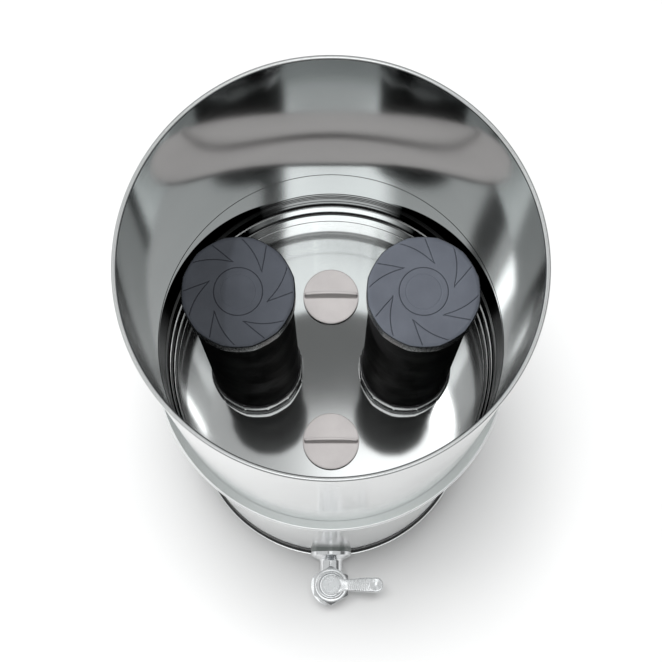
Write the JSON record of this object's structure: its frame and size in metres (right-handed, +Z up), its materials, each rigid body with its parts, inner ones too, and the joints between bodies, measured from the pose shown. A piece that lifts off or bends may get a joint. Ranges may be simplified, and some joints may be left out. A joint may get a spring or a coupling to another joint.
{
  "type": "gravity water filter with tap",
  "caption": "Tall two-chamber stainless gravity water filter, open at the top, with black filter cylinders and floor plugs inside and a lever tap at its foot.",
  "frame": {"origin": "centre of the round foot, on the surface that the filter stands on", "axes": "+Z up along the chambers' axis; -Y towards the tap and the viewer; +X towards the end of the tap's lever when shut"},
  "size_m": [0.2538, 0.2964, 0.607],
  "materials": {
    "steel_shell": "mirror polished stainless sheet",
    "steel_plain": "turned stainless",
    "tap_chrome": "polished chrome plate",
    "lever_satin": "satin cast steel",
    "screw_black": "black oxide",
    "rubber_black": "soft matte",
    "seal_white": "waxy white seal plastic",
    "cap_grey": "moulded blue-grey plastic, fine grain",
    "filter_black": "pressed black filter block, slightly sooty",
    "base_black": "moulded black plastic",
    "plug_plastic": "moulded warm light grey plastic"
  },
  "bodies": {
    "lower_unit": {"lower_chamber": "steel_shell", "lower_chamber_floor": "steel_shell", "lower_chamber_rim": "steel_shell", "base_ring": "base_black", "foot_gasket": "rubber_black", "tap_body": "tap_chrome", "tap_outer_washer": "rubber_black", "tap_inner_washer": "rubber_black", "tap_lock_nut": "steel_plain", "tap_seats": "seal_white", "tap_packing": "seal_white", "tap_bonnet": "tap_chrome", "tap_spout": "tap_chrome"},
    "tap_valve": {"tap_lever": "lever_satin", "tap_lever_screw": "screw_black", "tap_stem": "steel_plain", "tap_ball": "tap_chrome"},
    "upper_unit": {"upper_chamber": "steel_shell", "upper_chamber_floor": "steel_shell"},
    "filter_left": {"filter_cap_left": "cap_grey", "filter_element_left": "filter_black", "filter_base_left": "base_black", "filter_washer_left": "rubber_black"},
    "filter_right": {"filter_cap_right": "cap_grey", "filter_element_right": "filter_black", "filter_base_right": "base_black", "filter_washer_right": "rubber_black"},
    "wing_left": {"wing_nut_left": "plug_plastic"},
    "wing_right": {"wing_nut_right": "plug_plastic"},
    "plug_back_body": {"plug_back": "plug_plastic", "plug_washer_back": "rubber_black"},
    "plug_front_body": {"plug_front": "plug_plastic", "plug_washer_front": "rubber_black"},
    "nut_back": {"plug_nut_back": "plug_plastic"},
    "nut_front": {"plug_nut_front": "plug_plastic"}
  },
  "joints": [
    {"name": "upper_lift", "type": "slide", "parent": "lower_unit", "child": "upper_unit", "axis": [0, 0, 1], "range_m": [0, 0.11]},
    {"name": "tap_turn", "type": "hinge", "parent": "lower_unit", "child": "tap_valve", "pos_m": [0, -0.1525, 0.048], "axis": [0, 0, -1], "range_deg": [0, 90]},
    {"name": "filter_left_lift", "type": "slide", "parent": "upper_unit", "child": "filter_left", "axis": [0, 0, 1], "range_m": [0, 0.05]},
    {"name": "filter_right_lift", "type": "slide", "parent": "upper_unit", "child": "filter_right", "axis": [0, 0, 1], "range_m": [0, 0.05]},
    {"name": "plug_back_lift", "type": "slide", "parent": "upper_unit", "child": "plug_back_body", "axis": [0, 0, 1], "range_m": [0, 0.04]},
    {"name": "plug_front_lift", "type": "slide", "parent": "upper_unit", "child": "plug_front_body", "axis": [0, 0, 1], "range_m": [0, 0.04]},
    {"name": "wing_left_turn", "type": "hinge", "parent": "upper_unit", "child": "wing_left", "pos_m": [-0.0555, 0, 0.27], "axis": [0, 0, 1], "continuous": true},
    {"name": "wing_right_turn", "type": "hinge", "parent": "upper_unit", "child": "wing_right", "pos_m": [0.0555, 0, 0.27], "axis": [0, 0, 1], "continuous": true},
    {"name": "nut_back_turn", "type": "hinge", "parent": "upper_unit", "child": "nut_back", "pos_m": [0, 0.0555, 0.27], "axis": [0, 0, 1], "continuous": true},
    {"name": "nut_front_turn", "type": "hinge", "parent": "upper_unit", "child": "nut_front", "pos_m": [0, -0.0555, 0.27], "axis": [0, 0, 1], "continuous": true}
  ]
}
